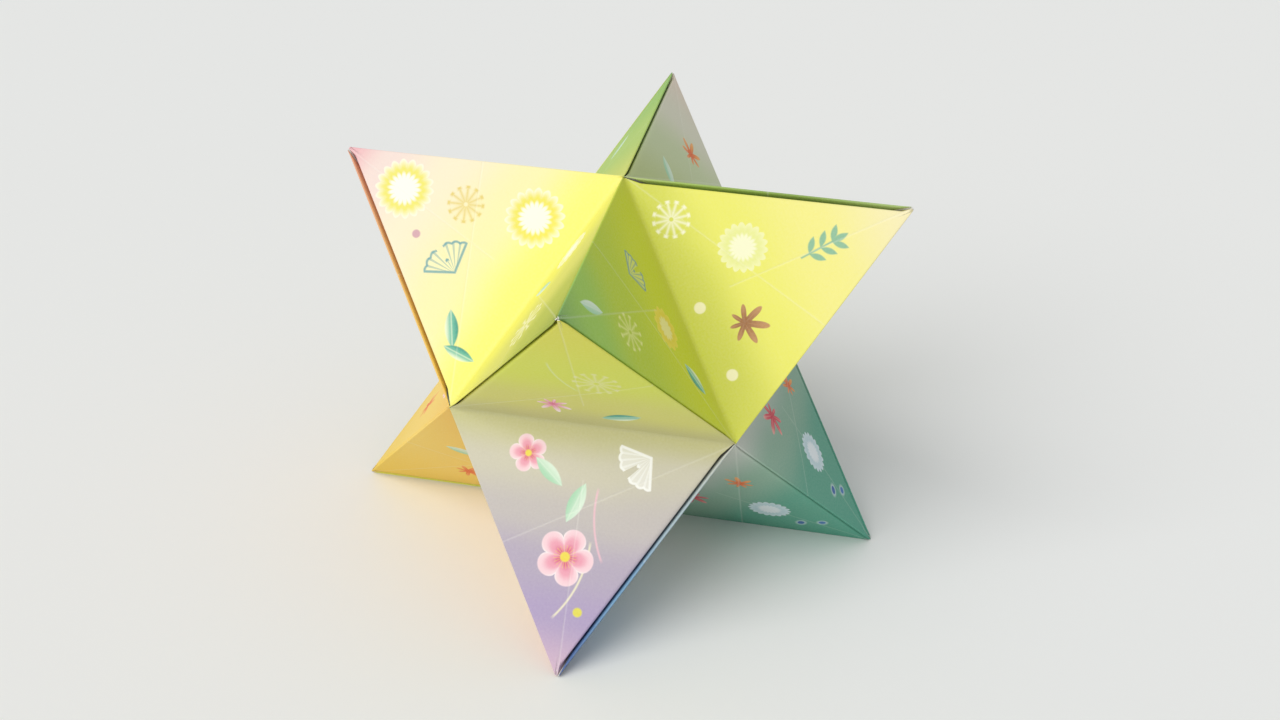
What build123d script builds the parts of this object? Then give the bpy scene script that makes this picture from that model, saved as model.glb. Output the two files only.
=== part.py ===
from build123d import *

import os
from math import sqrt

# A modular origami star: twelve folded paper units that make eight tetrahedral points.
#
# Every unit is one sheet. Its two sides are folded to the centre line, which leaves a strip half as
# wide as the sheet. Two opposite corners of the strip are turned under at 60 degrees, the other two
# become tabs, and a valley fold across the middle gives two triangular faces. Each face hides a
# pocket, and the tab of the next unit goes into it, so three units lock together at each point.
#
# One unit is built in its own frame: X runs along the valley fold and Z points away from the middle
# of the star. The two halves of a unit are the same, half a turn apart about Z. The star stands on
# four of its points, with its origin on the ground between them.

# Driving sizes, in millimetres.
sheet_width = 150.0  # across the strip, before the two sides are folded to the centre line
paper = 0.10  # thickness of the paper
air = 0.10  # air between two layers of one unit
pocket_gap = 0.25  # clearance on each side of a tab in its pocket
mouth_setback = 0.15  # from the ridge to the folded edge of the pocket that lies along it
flap_gap = 0.40  # between the two side flaps, where they meet on the centre line
end_relief = 2.2  # from the sharp tip of a point to the end of the strip
hidden_end_relief = 4.6  # from the sharp tip to the end of the pocket's inner wall
vertex_relief = 1.0  # from the end of the valley fold to the outer layer
hidden_relief = 3.0  # from the end of the valley fold to the layers inside

# The triangular face: three equal sides, each half as long as the sheet is wide.
edge = sheet_width / 2
half = edge / 2
rise = edge * sqrt(3) / 2

# The layers below a face, from the outside inwards, and the depth at which each one starts. The tab
# layers belong to the unit next door, and the pocket's inner wall lies behind them.
OUTER, INNER_FLAP, CORNER_FLAP, CORNER, TAB, TAB_FLAP, POCKET_WALL = range(7)
layer = paper + air
tab_depth = CORNER * layer + paper + pocket_gap
depths = [0.0, layer, CORNER_FLAP * layer, CORNER * layer]
depths += [tab_depth, tab_depth + layer, tab_depth + layer + paper + pocket_gap]

# Points of a face, in its own plane: the valley fold is on y = 0 and the tip is at the top.
left_end = (-half, 0)
right_end = (half, 0)
tip = (0, rise)
left_middle = (-half / 2, rise / 2)

# Lines of a face, each with the paper on its left.
left_ridge = (tip, left_end)
right_ridge = (right_end, tip)
side_fold = (left_middle, right_end)

# The upper face, the lower face, and the face next door that the upper tab goes under.
upper = Plane((0, 0, 0), x_dir=(1, 0, 0), z_dir=(0, -1 / sqrt(3), sqrt(2 / 3)))
lower = Plane((0, 0, 0), x_dir=(-1, 0, 0), z_dir=(0, 1 / sqrt(3), sqrt(2 / 3)))
point_tip = Vector(0, edge / sqrt(2), half)
point_left = Vector(-half, 0, 0)
point_far = Vector(0, edge / sqrt(2), -half)
next_middle = (point_left + point_far) / 2
next_along = point_left - point_far
next_door = Plane(next_middle, x_dir=next_along, z_dir=next_along.cross(point_tip - next_middle))

# Where the round folds begin, so that their outsides end at the setback and at the strip's side.
mouth_line = mouth_setback + (depths[CORNER] + paper) / 2
fold_radius = (layer + paper) / 2

# Layers that end on a crease start this far past it.
spare = 4 * depths[POCKET_WALL]


def trim(shape, *planes):
    """Cuts a shape along each plane and keeps the side that its middle is on."""
    for plane in planes:
        above = plane.to_local_coords(shape.center()).Z > 0
        shape = split(shape, bisect_by=plane, keep=Keep.TOP if above else Keep.BOTTOM)
    return shape


def crease(face, level, other_face, other_level):
    """The plane on which two layers meet at a fold."""
    one = face.offset(-depths[level] - paper / 2)
    other = other_face.offset(-depths[other_level] - paper / 2)
    line = one.intersect(other)
    return Plane(line.position, x_dir=line.direction, z_dir=one.z_dir - other.z_dir)


def inward(line):
    """The direction along a line of a face, and the direction from the line to the paper."""
    along = (Vector(*line[1]) - Vector(*line[0])).normalized()
    return along, Vector(-along.Y, along.X)


def along_line(face, line, setback):
    """An upright plane along a line of a face, moved on to the paper by setback."""
    across = inward(line)[1]
    return Plane(face.from_local_coords(Vector(*line[0]) + across * setback),
                 z_dir=face.from_local_coords(across) - face.origin)


def across_face(face, x=None, y=None):
    """An upright plane across a face at one x or one y."""
    if y is None:
        return Plane(face.from_local_coords(Vector(x, 0)), z_dir=face.x_dir)
    return Plane(face.from_local_coords(Vector(0, y)), z_dir=face.y_dir)


def panel(face, level, *corners):
    """A flat panel of the sheet, on one level of a face."""
    outline = make_face(Polyline(*corners, close=True))
    return extrude(face.offset(-depths[level]) * outline, paper, dir=-face.z_dir)


def fold_back(face, level, deeper, line, setback):
    """The round edge on which the sheet doubles back, from one level to a deeper one."""
    along, across = inward(line)
    middle = (depths[level] + depths[deeper] + paper) / 2
    outside = middle - depths[level]
    start = Vector(*line[0]) + across * setback - Vector(0, 0, middle)
    section = Plane(face.from_local_coords(start),
                    x_dir=face.origin - face.from_local_coords(across),
                    z_dir=face.from_local_coords(along) - face.origin)
    ring = Circle(outside) - Circle(outside - paper)
    ring &= Pos(outside, 0) * Rectangle(2 * outside, 2 * outside)
    length = (Vector(*line[1]) - Vector(*line[0])).length
    return extrude(section * ring, length)


def wedge_ends(face):
    """Where a turned corner stops: near the end of the valley, and along the left ridge."""
    return across_face(face, x=half - hidden_relief), along_line(face, left_ridge, end_relief)


def outer_face():
    """The printed face. It goes down at the left ridge and becomes the tab."""
    sheet = panel(upper, OUTER, (-half, -spare), (half, -spare), right_end, tip, left_end)
    return trim(
        sheet,
        crease(upper, OUTER, lower, OUTER),
        crease(upper, OUTER, next_door, TAB),
        along_line(upper, right_ridge, mouth_line),
        across_face(upper, x=vertex_relief - half),
        across_face(upper, x=half - vertex_relief),
        across_face(upper, y=rise - end_relief),
    )


def inner_flap():
    """The side flap behind the right of the face. Over the valley it is the pocket's wall."""
    sheet = panel(upper, INNER_FLAP, (0, -spare), (half, -spare), right_end, tip)
    return trim(
        sheet,
        crease(upper, INNER_FLAP, lower, POCKET_WALL),
        across_face(upper, x=flap_gap / 2),
        along_line(upper, right_ridge, mouth_line),
        across_face(upper, x=half - hidden_relief),
        across_face(upper, y=rise - end_relief),
    )


def pocket_wall():
    """The side flap behind the left of the face, which keeps the neighbour's tab in."""
    sheet = panel(upper, POCKET_WALL, left_end, (0, 0), tip)
    return trim(
        sheet,
        crease(upper, POCKET_WALL, lower, INNER_FLAP),
        crease(upper, POCKET_WALL, next_door, TAB_FLAP),
        across_face(upper, x=-flap_gap / 2),
        across_face(upper, x=hidden_relief - half),
        across_face(upper, y=rise - hidden_end_relief),
    )


def turned_corner():
    """The corner under the right of the face: two layers, both carried round the mouth's edge."""
    solids = []
    for level in (CORNER_FLAP, CORNER):
        sheet = panel(upper, level, right_end, tip, left_middle)
        mouth = along_line(upper, right_ridge, mouth_line)
        solids.append(trim(sheet, mouth, along_line(upper, side_fold, fold_radius)))
    solids.append(fold_back(upper, OUTER, CORNER, right_ridge, mouth_line))
    solids.append(fold_back(upper, INNER_FLAP, CORNER_FLAP, right_ridge, mouth_line))
    solids.append(fold_back(upper, CORNER_FLAP, CORNER, side_fold, fold_radius))
    return [trim(solid, *wedge_ends(upper)) for solid in solids]


def tab():
    """The tab below the face next door: two layers, joined at the fold along the strip's side."""
    solids = []
    for level, wall in ((TAB, OUTER), (TAB_FLAP, POCKET_WALL)):
        sheet = panel(next_door, level, right_end, tip, left_middle)
        ridge = crease(next_door, level, upper, wall)
        solids.append(trim(sheet, ridge, along_line(next_door, side_fold, fold_radius)))
    solids.append(fold_back(next_door, TAB, TAB_FLAP, side_fold, fold_radius))
    return [trim(solid, *wedge_ends(next_door)) for solid in solids]


def folded_unit():
    """One whole unit: a half, and the same half turned about the middle of the valley fold."""
    pieces = [outer_face(), inner_flap(), pocket_wall(), *turned_corner(), *tab()]
    pieces += [piece.rotate(Axis.Z, 180) for piece in pieces]
    unit = pieces[0].fuse(*pieces[1:])
    return unit.solids()[0] if len(unit.solids()) == 1 else unit


# Each unit's valley fold runs between two of the star's six inner corners.
corners = {
    "top": Vector(0, 0, 1),
    "bottom": Vector(0, 0, -1),
    "front": Vector(0, -1, 0),
    "back": Vector(0, 1, 0),
    "left": Vector(-1, 0, 0),
    "right": Vector(1, 0, 0),
}
sides = ("left", "front", "right", "back")
places = [(end, side) for end in ("top", "bottom") for side in sides]
places += [(end, side) for end in ("front", "back") for side in ("left", "right")]

unit = folded_unit()
units = {}
for first, second in places:
    outward = (corners[first] + corners[second]).normalized()
    frame = Plane(outward * half, x_dir=corners[first] - corners[second], z_dir=outward)
    units[f"unit_{first}_{second}"] = frame * unit

# The star stands on its lowest edges.
ground = min(piece.bounding_box().min.Z for piece in units.values())

os.makedirs("parts", exist_ok=True)
for name, piece in units.items():
    export_step(Pos(0, 0, -ground) * piece, f"parts/{name}.step")
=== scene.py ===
# %% [markdown]
# # A modular origami star
# Twelve sheets of printed origami paper, each folded into the same unit, lock into a star with eight
# points. This lesson builds the star's papers as real folded surfaces around a fixed model of the
# construction, prints them with node materials, and lights them like a small product on a table.

# %% The fixed frame
from math import atan2, cos, pi, radians, sin, sqrt

import bpy
from mathutils import Matrix, Vector


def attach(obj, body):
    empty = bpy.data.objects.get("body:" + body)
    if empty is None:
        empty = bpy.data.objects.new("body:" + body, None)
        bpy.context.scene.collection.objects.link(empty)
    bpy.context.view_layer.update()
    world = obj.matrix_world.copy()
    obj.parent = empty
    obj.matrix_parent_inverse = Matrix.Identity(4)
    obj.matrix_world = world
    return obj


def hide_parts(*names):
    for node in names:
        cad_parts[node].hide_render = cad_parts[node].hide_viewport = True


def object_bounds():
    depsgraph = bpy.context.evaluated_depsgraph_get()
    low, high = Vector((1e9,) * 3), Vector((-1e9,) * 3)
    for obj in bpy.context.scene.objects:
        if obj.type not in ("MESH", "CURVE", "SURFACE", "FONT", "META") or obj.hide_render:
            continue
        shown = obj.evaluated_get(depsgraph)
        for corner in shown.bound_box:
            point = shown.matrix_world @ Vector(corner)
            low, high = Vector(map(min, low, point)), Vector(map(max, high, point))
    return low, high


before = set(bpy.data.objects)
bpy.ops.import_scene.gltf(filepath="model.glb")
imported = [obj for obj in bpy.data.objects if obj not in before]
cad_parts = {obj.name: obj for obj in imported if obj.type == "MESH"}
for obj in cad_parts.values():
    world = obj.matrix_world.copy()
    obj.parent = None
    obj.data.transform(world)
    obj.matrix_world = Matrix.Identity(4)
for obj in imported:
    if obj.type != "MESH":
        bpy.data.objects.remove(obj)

cad_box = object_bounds()
print("construction model, in metres:", [tuple(round(v, 4) for v in corner) for corner in cad_box])

# %% [markdown]
# ## Sizes of the folded unit
# A 150 mm square is folded to a strip half as wide, so each triangular face has sides of 75 mm. All
# places follow from that one size and from the box of the frame: the six inner corners of the star lie
# on its axes, and every unit's valley fold runs between two of them.

# %% Sizes
mm = 0.001
sheet_width = 150 * mm
edge = sheet_width / 2
half = edge / 2
rise = edge * sqrt(3) / 2
inner_radius = edge / sqrt(2)  # from the middle of the star to each inner corner
low, high = cad_box
middle = Vector(((low.x + high.x) / 2, (low.y + high.y) / 2, (low.z + high.z) / 2))
print("face edge", round(edge / mm, 2), "mm; middle of the star", [round(v / mm, 2) for v in middle])

CORNERS = {
    "top": Vector((0, 0, 1)),
    "bottom": Vector((0, 0, -1)),
    "front": Vector((0, -1, 0)),
    "back": Vector((0, 1, 0)),
    "left": Vector((-1, 0, 0)),
    "right": Vector((1, 0, 0)),
}

# %% [markdown]
# ## Where a face lies
# Each unit has two faces. A face is known by its valley, which two inner corners name, and by its
# tip, which a third corner names. A face gets flat coordinates in millimetres: x along the valley
# fold and y up to the tip, with the tab on the left and the pocket's mouth on the right. The same
# coordinates draw the print later, so the motifs stay on the paper whatever the light does.

# %% A face's own axes
class Face:
    """One triangular face: a point of its plane, its axes and its outward normal."""

    def __init__(self, first, second, third):
        self.tip = (CORNERS[first] + CORNERS[second] + CORNERS[third]) * inner_radius + middle
        one = CORNERS[first] * inner_radius + middle
        two = CORNERS[second] * inner_radius + middle
        self.origin = (one + two) / 2
        self.y = (self.tip - self.origin).normalized()
        along = (two - one).normalized()
        normal = along.cross(self.y)
        outward = self.origin - (CORNERS[third] * inner_radius + middle)
        self.x = along if normal.dot(outward) > 0 else -along
        self.normal = self.x.cross(self.y)

    def place(self, x, y, depth=0.0):
        """The point at (x, y) of the face, depth below its surface."""
        return self.origin + self.x * x + self.y * y - self.normal * depth


# %% [markdown]
# ## The sheet as a folded surface
# A real unit is flat paper with sharp folds, so it could be made flat and bent, or cut from blocks.
# Here every unit is one grid of points: each row of the flat strip is laid out, and each point is
# carried over the folds by a short piece of geometry. The tab goes round a soft fold and dives under
# the face next door, and the turned corner goes round a tight fold below its own face. That keeps
# the print continuous over the folds, as on the real sheet.

# %% Fold sizes
dihedral = atan2(2 * sqrt(2), 1)  # between two faces of a point, 70.5 degrees
tab_depth = 1.15 * mm  # how far a tab lies below the face that covers it
tab_bend = 0.45 * mm  # radius of the soft fold where the tab goes down
mouth_bend = 0.26 * mm  # radius of the tight fold at the pocket's mouth
mouth_inset = 0.30 * mm  # from the ridge to where that fold begins
sheet_thickness = 0.20 * mm  # two layers of paper, pressed together
tip_cut = 1.0 * mm  # from the sharp tip to the end of the strip
hidden_cut = 4.0 * mm  # the end of the strip is trimmed this much more where it is tucked away
fold_start = tab_depth / sin(dihedral)  # where the tab's fold lies, in from the ridge
print("tab fold lies", round(fold_start / mm, 2), "mm in from the ridge")


# %% A point of the strip, carried over its folds
slope = sin(pi / 3)
turn = pi - dihedral
tangent = tab_bend * sin(turn / 2) / cos(turn / 2)
reach = tab_bend * turn / 2
columns = 44
bend_steps = 6


def over_tab_fold(distance):
    """In-plane and depth position for a point that far in from the tab's fold line."""
    start = fold_start + tangent
    if distance >= reach:
        return start + distance - reach, 0.0
    angle = min((reach - distance) / tab_bend, turn)
    straight = max(-reach - distance, 0)
    inside = start - tab_bend * sin(angle) - cos(turn) * straight
    return inside, tab_bend * (1 - cos(angle)) + sin(turn) * straight


def over_mouth_fold(distance):
    """In-plane and depth position for a point that far in from where the mouth's fold begins."""
    if distance >= 0:
        return mouth_inset + distance, 0.0
    angle = min(-distance / mouth_bend, pi)
    straight = max(-distance - pi * mouth_bend, 0)
    return mouth_inset - mouth_bend * sin(angle) + straight, mouth_bend * (1 - cos(angle))


def crown(x, y, swell):
    """How far the face swells outwards: none along its edges, most in the middle."""
    left = (x + half) * slope - y / 2
    right = (half - x) * slope - y / 2
    product = max(left, 0) * max(right, 0) * max(y, 0) / (rise / 3) ** 3
    return swell * min(product, 1.2)


def pinch(y):
    """Near both ends of a ridge the layers are pressed together, so the folds there are smaller."""
    return min(1.0, 0.3 + y / (5 * mm), (rise - y) / (3 * mm))


def strip_row(y, face, swell):
    """One row of a face's half of the strip: flat coordinates and places, from tab to corner."""
    size = pinch(y)
    right_x = half - y / sqrt(3)
    inset = min((fold_start + tangent) * size / slope, right_x * 0.9)
    hidden = max(y / 2 - 1.5 * mm, 0)
    cut = hidden_cut * y / rise
    left_in = face.x * slope - face.y * 0.5
    right_in = -face.x * slope - face.y * 0.5
    points = []
    tab = [-reach - hidden / size * (1 - step / 8) for step in range(8)]
    tab += [-reach + 2 * reach * step / bend_steps for step in range(bend_steps)]
    for distance in tab:
        true_inside = (fold_start + distance) * size
        inside, depth = over_tab_fold(distance)
        tucked = max(-reach - distance, 0) * size
        row_y = y - cut * min(tucked / hidden_cut, 1)
        x = -half + row_y / sqrt(3) + true_inside / slope
        place = face.place(x, row_y, depth * size) + left_in * (inside * size - true_inside)
        points.append(((x, row_y), place))
    for step in range(columns + 1):
        x = (right_x - inset) * (2 * step / columns - 1)
        points.append(((x, y), face.place(x, y, -crown(x, y, swell))))
    extra = inset * slope / size - mouth_inset
    mouth = [extra * (1 - step / 3) for step in range(1, 4)]
    mouth += [-pi * mouth_bend * step / 8 for step in range(1, 9)]
    mouth += [-pi * mouth_bend - hidden / size * step / 8 for step in range(1, 9)]
    for distance in mouth:
        true_inside = (mouth_inset + distance) * size
        inside, depth = over_mouth_fold(distance)
        tucked = max(-distance - pi * mouth_bend, 0) * size
        row_y = y - cut * min(tucked / hidden_cut, 1)
        x = half - row_y / sqrt(3) - true_inside / slope
        place = face.place(x, row_y, depth * size) + right_in * (inside * size - true_inside)
        points.append(((x, row_y), place))
    return points


# %% [markdown]
# ## Twelve units
# The units are all folded alike. The real ones are folded by hand, so each swells a little more or less than the next;
# here every unit swells by the same 0.35 mm.

# %% Build a unit
def unit_mesh(name, first, second, start, end):
    """The folded sheet of one unit, with its flat coordinates in millimetres as a UV map."""
    places, flats, quads = [], [], []
    for sign, third in ((1, end), (-1, start)):
        face = Face(first, second, third)
        swell = 0.35 * mm
        rows = [strip_row((rise - tip_cut) * step / 56, face, swell) for step in range(57)]
        base = len(places)
        width = len(rows[0])
        for row in rows:
            for (x, y), place in row:
                places.append(place)
                flats.append((sign * x / mm, sign * y / mm))
        for r in range(56):
            for c in range(width - 1):
                corner = base + r * width + c
                quads.append((corner, corner + 1, corner + width + 1, corner + width))
    mesh = bpy.data.meshes.new(name)
    mesh.from_pydata(places, [], quads)
    layer = mesh.uv_layers.new(name="flat")
    for loop in mesh.loops:
        layer.data[loop.index].uv = flats[loop.vertex_index]
    piece = bpy.data.objects.new(name, mesh)
    bpy.context.scene.collection.objects.link(piece)
    weld = piece.modifiers.new("Weld", "WELD")
    weld.merge_threshold = 0.01 * mm
    shell = piece.modifiers.new("Paper", "SOLIDIFY")
    shell.thickness = sheet_thickness
    shell.offset = -1
    shell.material_offset = 1
    shell.material_offset_rim = 1
    for polygon in mesh.polygons:
        polygon.use_smooth = True
    return piece


# %% [markdown]
# ## Printed origami paper
# The sheets are thin uncoated paper with an offset print that fades from hue to hue along the strip,
# on a white back. Uncoated paper scatters light widely, so it is rough and has almost no gloss. An
# image would tie the print to one size, so it is drawn with nodes instead: every motif is a formula
# in the sheet's own flat millimetres.

# %% Colours and nodes
def colour(hexadecimal):
    """A linear colour from an sRGB hex value."""
    parts = [int(hexadecimal[i:i + 2], 16) / 255 for i in (1, 3, 5)]
    return (*[c / 12.92 if c <= 0.04045 else ((c + 0.055) / 1.055) ** 2.4 for c in parts], 1)


def add(tree, kind, *values, output=0, **settings):
    """Adds a node and gives back one of its outputs.

    A kind may carry its operation after a dot. Values go to the inputs in order, or by name or
    number when they come as a dictionary, and each is a number, a colour or another node's output.
    """
    kind, _, operation = kind.partition(".")
    item = tree.nodes.new("ShaderNode" + kind)
    if operation:
        item.operation = operation
    for key, value in settings.items():
        setattr(item, key, value)
    inputs = values[0] if values and isinstance(values[0], dict) else dict(enumerate(values))
    for key, value in inputs.items():
        if hasattr(value, "is_output"):
            tree.links.new(value, item.inputs[key])
        else:
            item.inputs[key].default_value = value
    return item.outputs[output] if item.outputs else item


def fade(tree, factor, stops, interpolation="EASE"):
    """A colour that follows a factor from 0 to 1 through the given stops."""
    ramp = add(tree, "ValToRGB", factor)
    band = ramp.node.color_ramp
    band.interpolation = interpolation
    while len(band.elements) < len(stops):
        band.elements.new(0.5)
    for element, (place, code) in zip(band.elements, stops):
        element.position = place
        element.color = colour(code)
    return ramp


# %% [markdown]
# ## Motifs
# Each motif lives in its own small axes: its centre, its size in millimetres and its turn. There a
# polar formula gives its outline, and a narrow soft edge stands for the spread of printing ink.

# %% The axes of one motif, and ink
INK_EDGE = 0.35  # mm over which the edge of a printed shape fades


class Stamp:
    """The local axes of one motif on a sheet, and the way to ink it."""

    def __init__(self, tree, flat, x, y, size, angle=0.0, squash=1.0):
        self.tree, self.size = tree, size
        moved = add(tree, "Mapping", {
            "Vector": flat, "Location": (x, y, 0), "Rotation": (0, 0, radians(angle)),
            "Scale": (size, size * squash, 1)}, vector_type="TEXTURE")
        self.u = add(tree, "SeparateXYZ", moved)
        self.v = self.u.node.outputs[1]
        self.r = add(tree, "VectorMath.LENGTH", moved, output="Value")
        self.a = add(tree, "Math.ARCTAN2", self.v, self.u)

    def lobes(self, count, power=1.0):
        """A wave round the centre: 1 along the middle of each lobe and 0 between two lobes."""
        wave = add(self.tree, "Math.ABSOLUTE", add(self.tree, "Math.COSINE", add(self.tree, "Math.MULTIPLY", self.a, count / 2)))
        return wave if power == 1.0 else add(self.tree, "Math.POWER", wave, power)

    def inside(self, gap):
        """Ink where gap, a distance in the motif's own size, is more than nothing."""
        return add(self.tree, "Math.MULTIPLY_ADD", gap, self.size / INK_EDGE, 0.5, use_clamp=True)


def ink(tree, under, over, mask, strength=1.0):
    """Prints one colour over another."""
    if strength != 1.0:
        mask = add(tree, "Math.MULTIPLY", mask, strength)
    over = over if hasattr(over, "is_output") else colour(over)
    return add(tree, "Mix", {0: mask, 6: under, 7: over}, output=2, data_type="RGBA")


# %% Blossoms, rosettes and dots
def blossom(tree, flat, under, x, y, size, angle, tints, heart="#f2dc4a"):
    """A plum blossom: five round petals, deep at the heart and pale at the rim."""
    s = Stamp(tree, flat, x, y, size, angle)
    rim = add(tree, "Math.MULTIPLY_ADD", s.lobes(5, 0.55), 0.36, 0.64)
    petal = s.inside(add(tree, "Math.SUBTRACT", rim, s.r))
    shade = add(tree, "Math.MULTIPLY_ADD", s.lobes(5, 0.8), -0.22, add(tree, "Math.DIVIDE", s.r, rim))
    under = ink(tree, under, fade(tree, shade, tints), petal)
    rays = add(tree, "Math.MULTIPLY", add(tree, "Math.LESS_THAN", s.r, 0.40), s.inside(add(tree, "Math.SUBTRACT", s.lobes(20), 0.93)))
    under = ink(tree, under, heart, rays, 0.45)
    return ink(tree, under, heart, s.inside(add(tree, "Math.SUBTRACT", 0.17, s.r)))


def rosette(tree, flat, under, x, y, size, angle, petals, middle_colour, rim_colour, squash=1.0, count=18):
    """A chrysanthemum seen from above: a ring of narrow petals round a small disc."""
    s = Stamp(tree, flat, x, y, size, angle, squash)
    lobe = s.lobes(count)
    rim = add(tree, "Math.MULTIPLY_ADD", lobe, 0.16, 0.84)
    ring = s.inside(add(tree, "Math.SUBTRACT", rim, s.r))
    shade = add(tree, "Math.MULTIPLY_ADD", lobe, -0.12, s.r)
    stops = [(0.0, middle_colour), (0.34, middle_colour), (0.52, petals), (1.0, rim_colour)]
    under = ink(tree, under, fade(tree, shade, stops), ring, 0.92)
    parting = add(tree, "Math.MULTIPLY", s.inside(add(tree, "Math.SUBTRACT", 0.18, lobe)), add(tree, "Math.GREATER_THAN", s.r, 0.36))
    return ink(tree, under, petals, add(tree, "Math.MULTIPLY", parting, ring), 0.35)


def dot(tree, flat, under, x, y, size, tint, squash=1.0, angle=0.0, halo=None):
    """A round or oval spot, with a pale ring about it if a halo is given."""
    s = Stamp(tree, flat, x, y, size, angle, squash)
    if halo:
        under = ink(tree, under, halo, add(tree, "Math.SUBTRACT", 1.9, s.r, use_clamp=True), 0.75)
    return ink(tree, under, tint, s.inside(add(tree, "Math.SUBTRACT", 1.0, s.r)))


# %% Leaves, fans and sprays
def leaf(tree, flat, under, x, y, size, angle, tints, squash=1.0):
    """A pointed leaf with a pale vein, darker on one side of it."""
    s = Stamp(tree, flat, x, y, size, angle, squash)
    width = add(tree, "Math.MULTIPLY_ADD", add(tree, "Math.MULTIPLY", s.u, s.u), -0.36, 0.36)
    blade = s.inside(add(tree, "Math.SUBTRACT", width, add(tree, "Math.ABSOLUTE", s.v)))
    side = add(tree, "Math.MULTIPLY_ADD", s.v, 1.4, 0.5, use_clamp=True)
    under = ink(tree, under, fade(tree, side, tints), blade)
    vein = s.inside(add(tree, "Math.SUBTRACT", 0.03, add(tree, "Math.ABSOLUTE", s.v)))
    return ink(tree, under, tints[-1][1], add(tree, "Math.MULTIPLY", vein, blade), 0.7)


def maple(tree, flat, under, x, y, size, angle, tints):
    """A maple leaf: seven pointed lobes, the ones by the stem shorter."""
    s = Stamp(tree, flat, x, y, size, angle)
    spread = add(tree, "Math.MULTIPLY_ADD", add(tree, "Math.COSINE", s.a), 0.22, 0.78)
    rim = add(tree, "Math.MULTIPLY", add(tree, "Math.MULTIPLY_ADD", s.lobes(7, 2.2), 0.68, 0.32), spread)
    blade = s.inside(add(tree, "Math.SUBTRACT", rim, s.r))
    under = ink(tree, under, fade(tree, s.r, tints), blade)
    vein = add(tree, "Math.MULTIPLY", s.inside(add(tree, "Math.SUBTRACT", s.lobes(7), 0.985)), blade)
    return ink(tree, under, tints[-1][1], vein, 0.6)


def fan(tree, flat, under, x, y, size, angle, line, filling):
    """A ginkgo leaf in outline: a fan with a cleft, drawn with fine radial lines."""
    s = Stamp(tree, flat, x, y, size, angle)
    opening = add(tree, "Math.SUBTRACT", 0.95, add(tree, "Math.ABSOLUTE", s.a))
    cleft = add(tree, "Math.MULTIPLY", add(tree, "Math.LESS_THAN", add(tree, "Math.ABSOLUTE", s.a), 0.12), 0.45)
    rim = add(tree, "Math.SUBTRACT", add(tree, "Math.MULTIPLY_ADD", s.lobes(22), 0.05, 0.92), cleft)
    gap = add(tree, "Math.MINIMUM", add(tree, "Math.SUBTRACT", rim, s.r), add(tree, "Math.MULTIPLY", opening, s.r))
    shape = s.inside(gap)
    under = ink(tree, under, filling, shape, 0.55)
    rays = add(tree, "Math.MULTIPLY", s.inside(add(tree, "Math.SUBTRACT", s.lobes(26), 0.86)), shape)
    under = ink(tree, under, line, rays, 0.5)
    border = add(tree, "Math.SUBTRACT", shape, s.inside(add(tree, "Math.SUBTRACT", gap, 0.07)))
    return ink(tree, under, line, border, 0.85)


def spray(tree, flat, under, x, y, size, angle, tint, count=14, opening=3.2, inner=0.12):
    """Fine rays from a centre with a dot at the end of each, as on a seed head or pine needles."""
    s = Stamp(tree, flat, x, y, size, angle)
    wave = add(tree, "Math.COSINE", add(tree, "Math.MULTIPLY", s.a, count))
    aside = add(tree, "Math.MULTIPLY", add(tree, "Math.SQRT", add(tree, "Math.MULTIPLY_ADD", wave, -0.5, 0.5)), add(tree, "Math.MULTIPLY", s.r, 1.2 / count))
    reach_in = add(tree, "Math.MINIMUM", add(tree, "Math.SUBTRACT", 0.92, s.r), add(tree, "Math.SUBTRACT", s.r, inner))
    ray = s.inside(add(tree, "Math.MINIMUM", add(tree, "Math.SUBTRACT", 0.026, aside), reach_in))
    far = add(tree, "Math.ABSOLUTE", add(tree, "Math.SUBTRACT", s.r, 0.92))
    bead = s.inside(add(tree, "Math.SUBTRACT", 0.075, add(tree, "Math.MAXIMUM", add(tree, "Math.MULTIPLY", aside, 1.3), far)))
    both = add(tree, "Math.MAXIMUM", ray, bead)
    both = add(tree, "Math.MULTIPLY", both, add(tree, "Math.LESS_THAN", add(tree, "Math.ABSOLUTE", s.a), opening))
    return ink(tree, under, tint, both, 0.9)


def thread(tree, flat, under, x, y, size, angle, tint, width=0.45, opening=0.8):
    """A thin curved line: part of a large circle round (x, y)."""
    s = Stamp(tree, flat, x, y, size, angle)
    line = add(tree, "Math.SUBTRACT", width / size / 2, add(tree, "Math.ABSOLUTE", add(tree, "Math.SUBTRACT", s.r, 1.0)))
    ends = add(tree, "Math.MULTIPLY", add(tree, "Math.SUBTRACT", opening, add(tree, "Math.ABSOLUTE", s.a)), 0.2)
    return ink(tree, under, tint, s.inside(add(tree, "Math.MINIMUM", line, ends)), 0.9)


def branch(tree, flat, under, x, y, size, angle, tint, pairs=3):
    """A sprig in one flat colour: a stem with pairs of leaves."""
    heading = radians(angle)
    lengthwise = (cos(heading), sin(heading))
    for step in range(pairs):
        along = size * (0.5 * step - 0.5)
        for turned in (-48, 48):
            side = radians(angle + turned)
            middle_x = x + lengthwise[0] * along + cos(side) * size * 0.36
            middle_y = y + lengthwise[1] * along + sin(side) * size * 0.36
            tints = [(0.0, tint), (1.0, tint)]
            under = leaf(tree, flat, under, middle_x, middle_y, size * 0.34, angle + turned, tints)
    end_x = x + lengthwise[0] * size * 0.85
    end_y = y + lengthwise[1] * size * 0.85
    under = leaf(tree, flat, under, end_x, end_y, size * 0.36, angle, [(0.0, tint), (1.0, tint)])
    s = Stamp(tree, flat, x, y, size, angle)
    stem = add(tree, "Math.MINIMUM", add(tree, "Math.SUBTRACT", 0.035, add(tree, "Math.ABSOLUTE", s.v)), add(tree, "Math.SUBTRACT", 0.85, add(tree, "Math.ABSOLUTE", s.u)))
    return ink(tree, under, tint, s.inside(stem))


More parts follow.
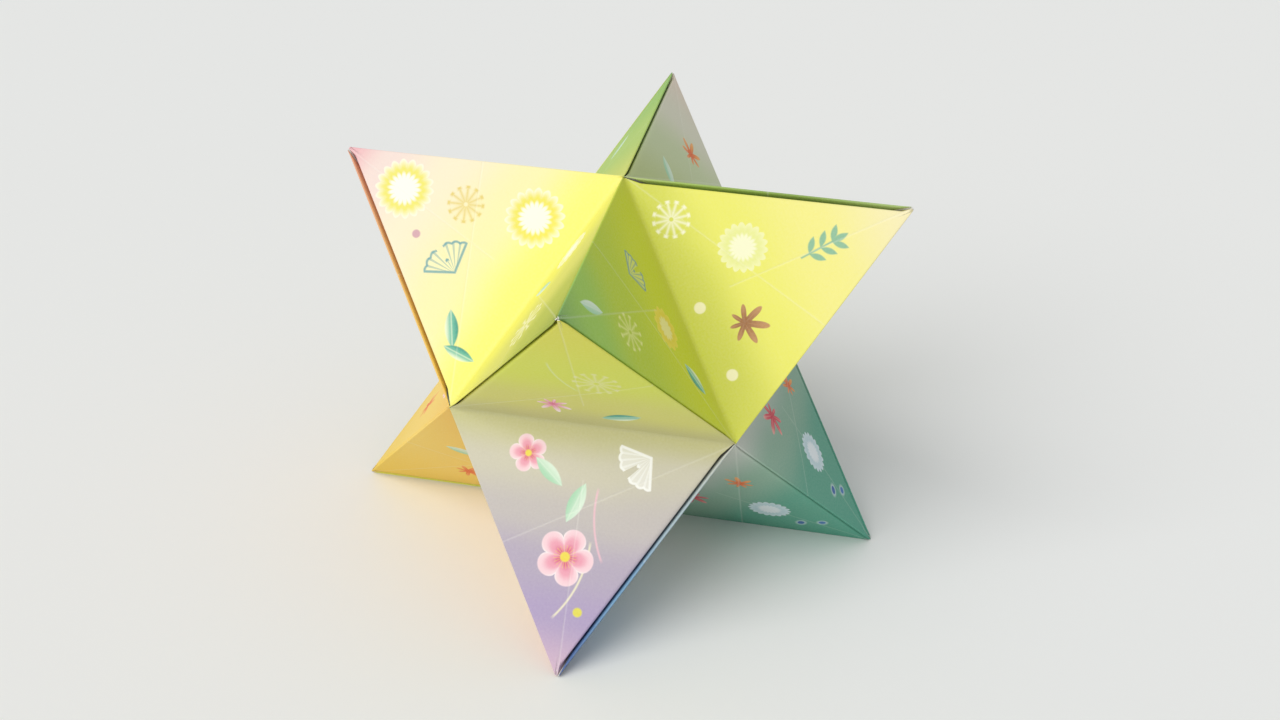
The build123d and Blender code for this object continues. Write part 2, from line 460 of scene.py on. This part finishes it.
# %% [markdown]
# ## The sheet's finish
# Folding leaves faint creases where a corner was marked and opened again: along the centre line of
# each point, and from one end of the valley to the far edge. The fibres show as a very fine relief,
# here about 0.6 mm apart, which is coarser than the real 0.1 mm so that it reads at this distance.

# %% Paper with a print
def creases(tree, axes):
    """1 on a faint crease and 0 elsewhere, the same on both halves of the strip."""
    side = add(tree, "Math.SIGN", axes.outputs[1])
    x = add(tree, "Math.MULTIPLY", axes.outputs[0], side)
    y = add(tree, "Math.ABSOLUTE", axes.outputs[1])
    centre = add(tree, "Math.ABSOLUTE", x)
    short = add(tree, "Math.SUBTRACT", 0.22 * rise / mm, y)
    centre = add(tree, "Math.MAXIMUM", centre, short)
    slant = add(tree, "Math.MULTIPLY_ADD", x, -0.5, add(tree, "Math.MULTIPLY_ADD", y, slope, -half / mm / 2))
    nearest = add(tree, "Math.MINIMUM", centre, add(tree, "Math.ABSOLUTE", slant))
    return add(tree, "Math.MULTIPLY_ADD", nearest, -2.6, 1.0, use_clamp=True)


def printed_paper(name, stops, motifs):
    """Origami paper printed with a fade along the strip, from its first tip to its second."""
    material = bpy.data.materials.new(name)
    material.use_nodes = True
    tree = material.node_tree
    tree.nodes.clear()
    flat = add(tree, "UVMap", uv_map="flat")
    axes = add(tree, "SeparateXYZ", flat).node
    drift = add(tree, "TexNoise", {"Vector": flat, "Scale": 0.03, "Detail": 1.0})
    along = add(tree, "Math.ADD", axes.outputs[1], add(tree, "Math.MULTIPLY_ADD", drift, 9.0, -4.5))
    print_colour = fade(tree, add(tree, "Math.MULTIPLY_ADD", along, 0.5 * mm / rise, 0.5), stops)
    for draw, *details in motifs:
        print_colour = draw(tree, flat, print_colour, *details)
    mottle = add(tree, "TexNoise", {"Vector": flat, "Scale": 1.6, "Detail": 3.0})
    marks = creases(tree, axes)
    worn = add(tree, "Math.MULTIPLY_ADD", marks, 0.16, add(tree, "Math.MULTIPLY_ADD", mottle, 0.16, -0.05), use_clamp=True)
    print_colour = ink(tree, print_colour, "#fffdf4", worn)
    fibres = add(tree, "TexNoise", {"Vector": flat, "Scale": 1.7, "Detail": 4.0, "Roughness": 0.65})
    relief = add(tree, "Math.MULTIPLY_ADD", marks, -1.1, add(tree, "Math.MULTIPLY", fibres, 0.5))
    bump = add(tree, "Bump", {"Height": relief, "Distance": 0.10 * mm, "Strength": 0.5})
    finish = add(tree, "BsdfPrincipled", {
        "Base Color": print_colour, "Normal": bump, "Roughness": 0.62, "IOR": 1.45})
    add(tree, "OutputMaterial", finish)
    return material


def white_back(name):
    """The unprinted back of the paper and its cut edges."""
    material = bpy.data.materials.new(name)
    material.use_nodes = True
    finish = material.node_tree.nodes["Principled BSDF"]
    finish.inputs["Base Color"].default_value = colour("#f3f1ea")
    finish.inputs["Roughness"].default_value = 0.8
    return material


# %% [markdown]
# ## The prints
# The pack holds seven prints, and the star mixes them. Fades and motifs are listed in flat
# millimetres: the first tip is at the bottom of the strip and the second at the top.

# %% The prints
PINK = [(0.0, "#e0658a"), (0.35, "#f0a3b6"), (0.7, "#f9d3da"), (1.0, "#fdf0f0")]
LEAF_GREEN = [(0.0, "#a9d9b4"), (1.0, "#dff0dc")]
PINE = [(0.0, "#3f9c8c"), (0.5, "#6fbfa8"), (1.0, "#eef7d8")]
RED = [(0.0, "#d8324a"), (0.55, "#e45565"), (1.0, "#f6b2a4")]
ORANGE = [(0.0, "#e8642c"), (1.0, "#f6b060")]
BROWN = [(0.0, "#a06a3c"), (1.0, "#c89460")]

PRINTS = {
    "meadow_to_rose": (
        [(0.0, "#9fae30"), (0.15, "#b9c23e"), (0.3, "#dedc62"), (0.44, "#f2ee60"), (0.52, "#fcf57c"),
         (0.65, "#fcf2b3"), (0.8, "#fbeecd"), (0.92, "#f6dfd5"), (1.0, "#f0b2b8")],
        [
            (rosette, 0.5, 45.0, 8.0, 0, "#f4ea5c", "#fffdf2", "#fffef8"),
            (fan, -9.0, 20.0, 9.0, 70, "#5fa3ac", "#fbf6c4"),
            (rosette, 15.0, 12.0, 8.0, 10, "#f2e650", "#fffdf2", "#fffef8"),
            (leaf, -21.0, 12.0, 5.0, 40, PINE), (leaf, -25.0, 6.5, 4.5, 100, PINE),
            (spray, 7.0, 29.0, 5.0, 30, "#e8cf6a", 12), (dot, -7.0, 35.0, 1.1, "#d8a8b0"),
            (leaf, 2.0, -12.0, 5.0, 120, LEAF_GREEN), (rosette, 14.0, -9.0, 6.0, 0, "#fff6b0", "#fffef0", "#fffdf0"),
            (spray, -7.0, -28.0, 6.5, 30, "#fbf8c8", 12),
        ],
    ),
    "meadow_to_cream": (
        [(0.0, "#81b161"), (0.12, "#a0cc58"), (0.25, "#bbd13a"), (0.44, "#d0db2c"), (0.54, "#d8da50"),
         (0.65, "#f0ed68"), (0.8, "#f7ef88"), (1.0, "#f8ecb8")],
        [
            (branch, 0.0, 39.0, 6.5, 95, "#8fbf9a", 3), (rosette, -8.0, 21.0, 6.5, 0, "#eef09a", "#fdfbd8", "#fbf9c4"),
            (maple, 10.0, 14.0, 6.5, 60, BROWN), (spray, -22.0, 7.0, 5.0, 140, "#fffbe0", 12),
            (dot, 2.0, 5.0, 1.5, "#fdf6c4"), (dot, 21.0, 6.0, 1.5, "#fdf6c4"),
            (rosette, 5.0, -13.0, 6.0, 0, "#ecd844", "#f4eca0", "#f0e258", 0.8, 12),
            (fan, -10.0, -21.0, 7.5, 100, "#5c96a8", "#e4ea90"), (leaf, 19.0, -8.0, 5.0, 30, PINE),
            (spray, 5.0, -33.0, 5.0, 80, "#e8ee98", 11), (leaf, -2.0, -47.0, 4.5, 70, LEAF_GREEN),
        ],
    ),
    "dusk": (
        [(0.0, "#e2de4f"), (0.25, "#dbe356"), (0.4, "#d9d774"), (0.5, "#c8c48a"), (0.58, "#d0cab4"),
         (0.68, "#c4bcb8"), (0.78, "#b5a8bc"), (0.88, "#b09ec2"), (1.0, "#d3b3c6")],
        [
            (thread, 26.0, 30.0, 30.0, 160, "#f4ecc8", 0.5, 0.35), (thread, -34.0, 20.0, 30.0, 10, "#f0c0cc", 0.5, 0.3),
            (fan, -17.0, 6.0, 9.0, 40, "#fffefa", "#fffefa"), (leaf, 1.0, 20.0, 5.5, 70, LEAF_GREEN),
            (blossom, 2.0, 34.0, 7.5, 30, PINK), (blossom, 15.0, 9.0, 5.0, 0, PINK),
            (leaf, 9.0, 13.0, 5.0, 140, LEAF_GREEN), (dot, -3.0, 47.5, 1.2, "#e6dc50"),
            (maple, 8.0, -13.0, 5.5, 100, PINK), (leaf, -9.0, -9.0, 5.5, 20, PINE),
            (spray, -5.0, -30.0, 6.0, 60, "#e8e9a0", 12), (thread, -20.0, -40.0, 26.0, 20, "#dfe89a", 0.5, 0.3),
        ],
    ),
    "pond": (
        [(0.0, "#4aa288"), (0.25, "#58a48a"), (0.38, "#8fb49c"), (0.5, "#c8ccc2"), (0.65, "#a9bcc4"),
         (0.82, "#6f9cc0"), (1.0, "#3f5f9a")],
        [
            (maple, -9.0, -11.0, 6.5, 200, RED), (maple, 12.0, -15.0, 5.0, 40, ORANGE),
            (rosette, 0.0, -31.0, 6.0, 0, "#cfe4ea", "#f6fbff", "#e4f1f6"),
            (dot, -3.0, -43.0, 1.4, "#2f62a8", 0.7, 15.0, "#dfe8ee"),
            (dot, 2.0, -47.0, 1.2, "#3b74b8", 0.8, 0.0, "#dfe8ee"), (maple, 8.0, 26.0, 6.0, 200, RED),
            (spray, -8.0, 14.0, 6.5, 60, "#e4eef2", 13),
        ],
    ),
    "harvest": (
        [(0.0, "#f0cc48"), (0.3, "#f5d468"), (0.6, "#f3c45a"), (1.0, "#e9a27c")],
        [
            (maple, 4.0, -29.0, 6.0, 60, ORANGE), (leaf, -10.0, -19.0, 5.0, 30, LEAF_GREEN),
            (blossom, 14.0, -10.0, 5.5, 50, PINK), (blossom, -12.0, 14.0, 6.0, 20, PINK),
            (rosette, 5.0, 30.0, 6.5, 0, "#f8e06a", "#fff6d0", "#fbeaa0"),
        ],
    ),
    "morning": (
        [(0.0, "#e8d6c4"), (0.15, "#dcdac4"), (0.3, "#c9d4a8"), (0.46, "#c0cc8e"), (0.6, "#a3bf5c"),
         (0.8, "#8aa84a"), (1.0, "#a8c070")],
        [
            (maple, -2.0, -33.0, 6.0, 250, ORANGE), (rosette, -12.0, -12.0, 6.0, 0, "#f0b850", "#fff3d6", "#f8dfa0"),
            (leaf, 13.0, -17.0, 5.0, 110, LEAF_GREEN), (maple, 6.0, 22.0, 6.5, 80, RED),
            (spray, -8.0, 34.0, 6.5, 60, "#eef4d8", 13), (leaf, -16.0, 12.0, 5.0, 40, PINE),
        ],
    ),
    "willow": (
        [(0.0, "#8fbf5a"), (0.3, "#b2cf66"), (0.5, "#d6dc66"), (0.75, "#f0e47c"), (1.0, "#f4e6a8")],
        [
            (leaf, 2.0, -33.0, 5.0, 80, LEAF_GREEN), (fan, -9.0, -15.0, 7.5, 60, "#5fa36c", "#e6edb0"),
            (rosette, 10.0, 14.0, 7.0, 0, "#fff2a0", "#fffbe0", "#fff8d0"), (spray, 13.0, -10.0, 5.0, 0, "#f4f6dc", 12),
            (branch, 2.0, 40.0, 6.5, 80, "#fffdf0", 3),
        ],
    ),
}
UNITS = {
    "unit_top_left": ("top", "left", "front", "back", "meadow_to_rose"),
    "unit_top_front": ("top", "front", "left", "right", "meadow_to_cream"),
    "unit_front_left": ("front", "left", "top", "bottom", "dusk"),
    "unit_front_right": ("front", "right", "bottom", "top", "pond"),
    "unit_bottom_front": ("bottom", "front", "right", "left", "pond"),
    "unit_back_left": ("back", "left", "bottom", "top", "harvest"),
    "unit_bottom_left": ("bottom", "left", "back", "front", "harvest"),
    "unit_top_back": ("top", "back", "right", "left", "willow"),
    "unit_top_right": ("top", "right", "back", "front", "morning"),
    "unit_bottom_right": ("bottom", "right", "front", "back", "pond"),
    "unit_bottom_back": ("bottom", "back", "left", "right", "dusk"),
    "unit_back_right": ("back", "right", "top", "bottom", "meadow_to_rose"),
}
papers = {name: printed_paper("printed_uncoated_paper_" + name, *details) for name, details in PRINTS.items()}
back = white_back("white_paper_back")
for node, (first, second, start, end, print_name) in UNITS.items():
    piece = unit_mesh(node.replace("unit", "paper"), first, second, start, end)
    piece.data.materials.append(papers[print_name])
    piece.data.materials.append(back)
    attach(piece, "root")
    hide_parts(node)
print("units:", len(UNITS), "prints:", len(papers))
for name, paper in papers.items():
    print("print", name, "has", len(paper.node_tree.nodes), "nodes")

# %% [markdown]
# ## The table and the light
# A wide pale floor takes the soft shadow. One large soft lamp from the upper left models the faces,
# and an even pale world fills the shadows.

# %% Floor, lamps and world
floor_mesh = bpy.data.meshes.new("floor")
wide = 6.0
floor_mesh.from_pydata([(-wide, -wide, 0), (wide, -wide, 0), (wide, wide, 0), (-wide, wide, 0)], [], [(0, 1, 2, 3)])
floor = bpy.data.objects.new("floor", floor_mesh)
bpy.context.scene.collection.objects.link(floor)
floor.location.z = low.z - 0.0002
pale = bpy.data.materials.new("pale_floor")
pale.use_nodes = True
pale.node_tree.nodes["Principled BSDF"].inputs["Base Color"].default_value = colour("#f1f1ee")
pale.node_tree.nodes["Principled BSDF"].inputs["Roughness"].default_value = 0.9
floor.data.materials.append(pale)

lamp_data = bpy.data.lights.new("soft_window", "SUN")
lamp_data.angle = radians(50)
lamp_data.energy = 1.75
lamp = bpy.data.objects.new("soft_window", lamp_data)
bpy.context.scene.collection.objects.link(lamp)
lamp.location = middle + Vector((-0.72, -0.08, 0.70))
lamp.rotation_euler = (middle - lamp.location).to_track_quat("-Z", "Y").to_euler()

world = bpy.data.worlds.new("pale_room")
bpy.context.scene.world = world
world.use_nodes = True
sky = world.node_tree
sky.nodes.clear()
ray = add(sky, "LightPath").node
fill = add(sky, "Background", {"Color": colour("#f4f6f8"), "Strength": 0.56})
seen = add(sky, "Background", {"Color": colour("#f1f1ee"), "Strength": 1.0})
chosen = add(sky, "MixShader", ray.outputs["Is Camera Ray"], fill, seen)
add(sky, "OutputWorld", chosen)

# %% [markdown]
# ## The camera
# It stands about 44 cm from the middle of the star, at the height of someone at the table.

# %% Camera
away, around, above = 8.314 * inner_radius, radians(34.34), radians(31.46)
heading, tilt, roll = radians(35.22), radians(31.76), radians(1.85)
camera_data = bpy.data.cameras.new("camera")
camera_data.sensor_width = 36
camera_data.lens = 45.0
camera_data.clip_start = 0.01
camera = bpy.data.objects.new("camera", camera_data)
bpy.context.scene.collection.objects.link(camera)
camera.location = middle + Vector((-sin(around) * cos(above), -cos(around) * cos(above), sin(above))) * away
turned = Matrix.Rotation(-heading, 4, "Z") @ Matrix.Rotation(pi / 2 - tilt, 4, "X") @ Matrix.Rotation(roll, 4, "Z")
camera.rotation_euler = turned.to_euler()
bpy.context.scene.camera = camera
bpy.context.scene.view_settings.view_transform = "Standard"
print("camera at", [round(v, 3) for v in camera.location])
